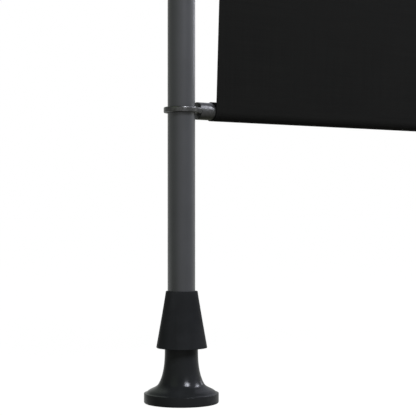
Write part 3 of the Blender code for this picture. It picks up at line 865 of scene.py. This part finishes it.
def sewn(name, rows, along, normal):
    """Short lengths of sewing thread along X, each a slim six-sided spindle."""
    step, length, wide, thick = 4 * MM, 3.1 * MM, 0.32 * MM, 0.16 * MM
    count = int((2 * HALF_WIDTH - 6 * MM) / step)
    cuts = ((-0.5, 0.35), (-0.36, 1.0), (0.36, 1.0), (0.5, 0.35))
    verts, faces = [], []
    for row in rows:
        for i in range(count):
            middle_x = (i - (count - 1) / 2) * step
            base = len(verts)
            for share, width in cuts:
                for k in range(6):
                    turn = math.pi / 3 * k
                    spot = row + along * wide * width * math.cos(turn)
                    spot = spot + normal * thick * width * math.sin(turn)
                    verts.append((middle_x + share * length, spot.y, spot.z))
            for j in range(3):
                for k in range(6):
                    a, b = base + 6 * j + k, base + 6 * j + (k + 1) % 6
                    faces.append((a, b, b + 6, a + 6))
            faces.append(tuple(base + k for k in reversed(range(6))))
            faces.append(tuple(base + 18 + k for k in range(6)))
    mesh = bpy.data.meshes.new(name)
    mesh.from_pydata(verts, [], faces)
    layer = mesh.uv_layers.new(name="UVMap")
    for loop in mesh.loops:
        spot = mesh.vertices[loop.vertex_index].co
        layer.data[loop.index].uv = (spot.x, spot.z)
    obj = new_object(name, mesh)
    bm = bmesh.new()
    bm.from_mesh(mesh)
    bmesh.ops.recalc_face_normals(bm, faces=bm.faces)
    bm.to_mesh(mesh)
    bm.free()
    smooth(mesh, 50)
    return obj


def fabric():
    start, end, normal = cloth_frame()
    run = (end - start).length

    def place(u, v):
        spot = start.lerp(end, v)
        spot.x = (u - 0.5) * 2 * (HALF_WIDTH + 0.25 * MM)
        hang = math.sin(math.pi * v)
        wave = 0.45 * MM * math.sin(7.1 * u + 1.3) + 0.3 * MM * math.sin(15.7 * u + 3.0 * v)
        near_edge = min(u, 1 - u) * 2 * HALF_WIDTH
        curl = 1.6 * MM * math.exp(-near_edge / (14 * MM))
        return spot - normal * (hang * (wave + curl) + CLOTH / 2)

    def metres(u, v):
        return (u * 2 * HALF_WIDTH, v * run)

    sheet = cloth("fabric_sheet_cloth", 160, 150, place, metres)
    finish_piece(sheet, "frame", "black_fabric", "fabric_sheet")
    shorten(sheet)
    flap, stitches = seam()


def hem():
    """The sleeve of cloth round the bottom bar."""
    turns = 96
    skin = HEM_R - CLOTH / 2

    def place(u, v):
        angle = 2 * math.pi * v
        return ((u - 0.5) * 2 * HALF_WIDTH, -skin * math.cos(angle), BAR.z - skin * math.sin(angle))

    def metres(u, v):
        return (u * 2 * HALF_WIDTH, -v * 2 * math.pi * skin)

    obj = cloth("fabric_hem_cloth", 60, turns, place, metres)
    finish_piece(obj, "bottom_bar", "black_fabric", "fabric_hem")


def roll():
    """The cloth left on the roller, wound in a spiral."""
    turns = 2.6
    steps = 220
    start_r = ROLLER_R + 0.3 * MM + CLOTH / 2
    end_r = ROLL_R - CLOTH / 2

    def place(u, v):
        angle = 2 * math.pi * turns * (1 - v)
        radius = start_r + (end_r - start_r) * v
        return ((u - 0.5) * 2 * HALF_WIDTH, ROLL.y - radius * math.cos(angle),
                ROLL.z + radius * math.sin(angle))

    def metres(u, v):
        return (u * 2 * HALF_WIDTH, v * 2 * math.pi * turns * ROLL_R)

    obj = cloth("fabric_roll_cloth", 40, steps, place, metres)
    finish_piece(obj, "roller", "black_fabric", "fabric_roll")


# ------------------------------------------------------------------ gearbox screws
def cover_screws():
    """Four domed socket screws in the corners of the gearbox cover."""
    low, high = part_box("gearbox_cover")
    head, rise, socket = 2.3 * MM, 1.3 * MM, 1.1 * MM
    outline = [(0, rise - 0.9 * MM), (socket, rise - 0.9 * MM), (socket, rise)]
    for i in range(1, 8):
        turn = math.pi / 2 * i / 7
        out = socket + (head - socket) * math.sin(turn)
        outline.append((out, rise - 0.8 * rise * (1 - math.cos(turn))))
    outline += [(head, -0.3 * MM), (0, -0.3 * MM)]
    inset = 5 * MM
    places = [(y, z) for y in (low.y + inset, high.y - inset) for z in (low.z + inset, high.z - inset)]
    for number, (y, z) in enumerate(places, 1):
        screw = lathe(f"gearbox_screw_{number}", outline, 32)
        screw.rotation_euler.y = math.pi / 2
        screw.location = (high.x, y, z)
        finish_piece(screw, "frame", "zinc_steel")


# ------------------------------------------------------------------ CAD nodes that stay
def dress(obj, slot):
    """Weld, soften and paint a CAD node whose shape is right."""
    weld = obj.modifiers.new("weld", "WELD")
    weld.merge_threshold = 0.01 * MM
    edge = obj.modifiers.new("edges", "BEVEL")
    edge.width = 0.35 * MM
    edge.segments = 2
    edge.limit_method = "ANGLE"
    edge.angle_limit = math.radians(35)
    obj.data.materials.clear()
    obj.data.materials.append(FINISH[slot])
    obj.data.shade_smooth()
    fine = obj.modifiers.new("normals", "WEIGHTED_NORMAL")
    fine.keep_sharp = True


def carried_over():
    slots = {s["node"]: s["material_slot"] for s in frame["record"]["subparts"]}
    for node, obj in frame["nodes"].items():
        if not obj.hide_render:
            dress(obj, slots[node])


# ------------------------------------------------------------------ build
studio()
FINISH = {slot: make(slot + "_look") for slot, make in SLOTS.items()}
for side, sign in SIDES:
    for kind in ("foot", "ceiling"):
        flared_pad(side, sign, kind)
        sleeve(side, sign, kind)
    tubes(side, sign)
    bar_end(side, sign)
hem()
roll()
fabric()
cover_screws()
carried_over()
cloths = ["fabric_sheet_cloth", "fabric_hem_cloth", "fabric_roll_cloth", "fabric_hem_flap"]
pads = [f"{side}_{kind}_pad_rubber" for side, sign in SIDES for kind in ("foot", "ceiling")]
shine_on("cloth_lamp", cloths)
shine_on("gloss_lamp", pads, gloss_only=True)
shine_on("gloss_side_lamp", pads, gloss_only=True)
sleeves = [f"{side}_{node}_shell" for side, sign in SIDES for node in ("sleeve_nut", "ceiling_sleeve")]
metals = [f"{side}_{part}" for side, sign in SIDES
          for part in ("bar_cap_barrel", "pole_ring_band", "clamp_front", "clamp_back")]
shine_on("sleeve_lamp", sleeves)
shine_on("metal_lamp", metals)
shine_on("metal_key_lamp", metals)
shade_from("side_lamp", sleeves)
